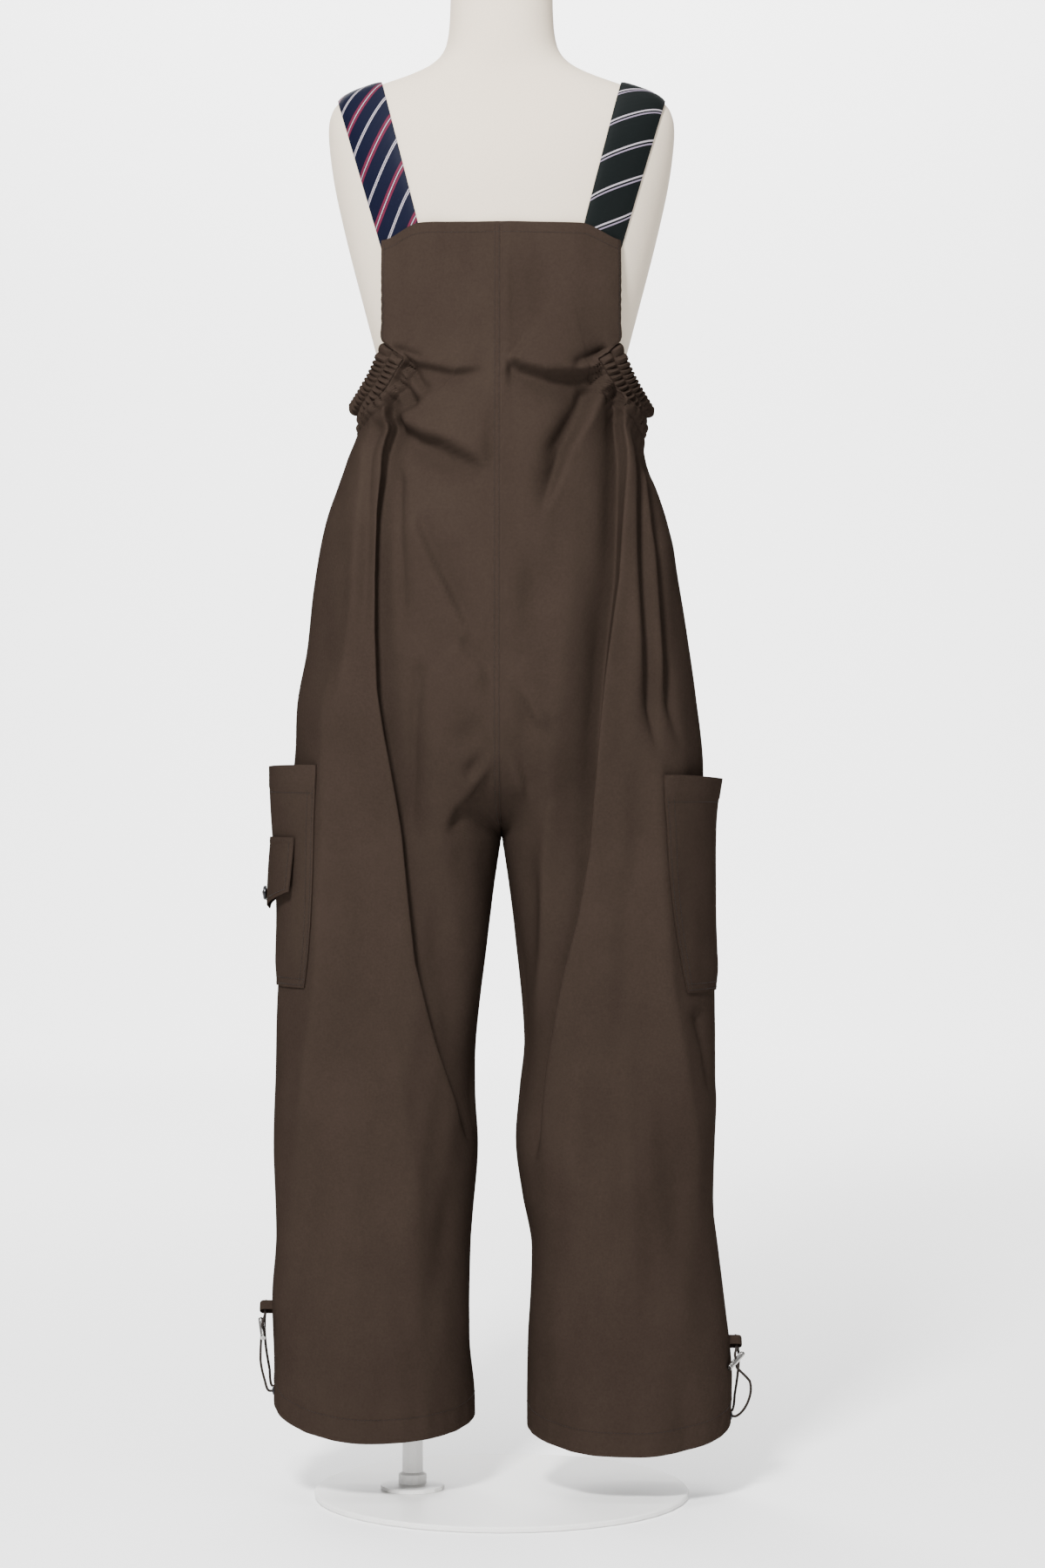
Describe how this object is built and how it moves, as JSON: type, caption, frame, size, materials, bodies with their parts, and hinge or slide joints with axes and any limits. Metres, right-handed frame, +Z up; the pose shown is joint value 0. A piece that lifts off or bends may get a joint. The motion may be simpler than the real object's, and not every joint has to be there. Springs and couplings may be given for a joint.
{
  "type": "dungarees on a dress form",
  "caption": "Wide-leg twill dungarees with necktie straps, gathered armhole bands, side cargo pockets and toggled hem cords, on a limbless dress form with a round base.",
  "frame": {"origin": "centre of the base plate's underside", "axes": "+Z up along the dress form, +X the wearer's right, +Y the wearer's front; the back of the dungarees faces -Y"},
  "size_m": [0.5265, 0.4, 1.628],
  "materials": {
    "twill": "smooth cotton twill, soft satin sheen",
    "navy_tie": "woven tie silk, diagonal stripes",
    "green_tie": "woven tie silk, diagonal stripes",
    "cord": "round braided elastic cord",
    "form_cover": "matt jersey cover",
    "stand_paint": "satin powder coat",
    "toggle_metal": "polished nickel plate",
    "snap_metal": "dark plated"
  },
  "bodies": {
    "root": {"form_torso": "form_cover", "stand_plate": "stand_paint", "stand_pole": "stand_paint", "back_left": "twill", "back_right": "twill", "front_left": "twill", "front_right": "twill", "elastic_band_left": "twill", "elastic_band_right": "twill", "cargo_pocket_left": "twill", "cargo_pocket_right": "twill", "pocket_flap": "twill", "cord_tab_left": "twill", "cord_tab_right": "twill", "strap_left": "navy_tie", "strap_right": "green_tie", "hem_cord_left": "cord", "hem_cord_right": "cord", "bar_toggle_left": "toggle_metal", "bar_toggle_right": "toggle_metal", "eyelet_back_left": "toggle_metal", "eyelet_back_right": "toggle_metal", "eyelet_front_left": "toggle_metal", "eyelet_front_right": "toggle_metal", "flap_snap": "snap_metal"}
  },
  "joints": []
}
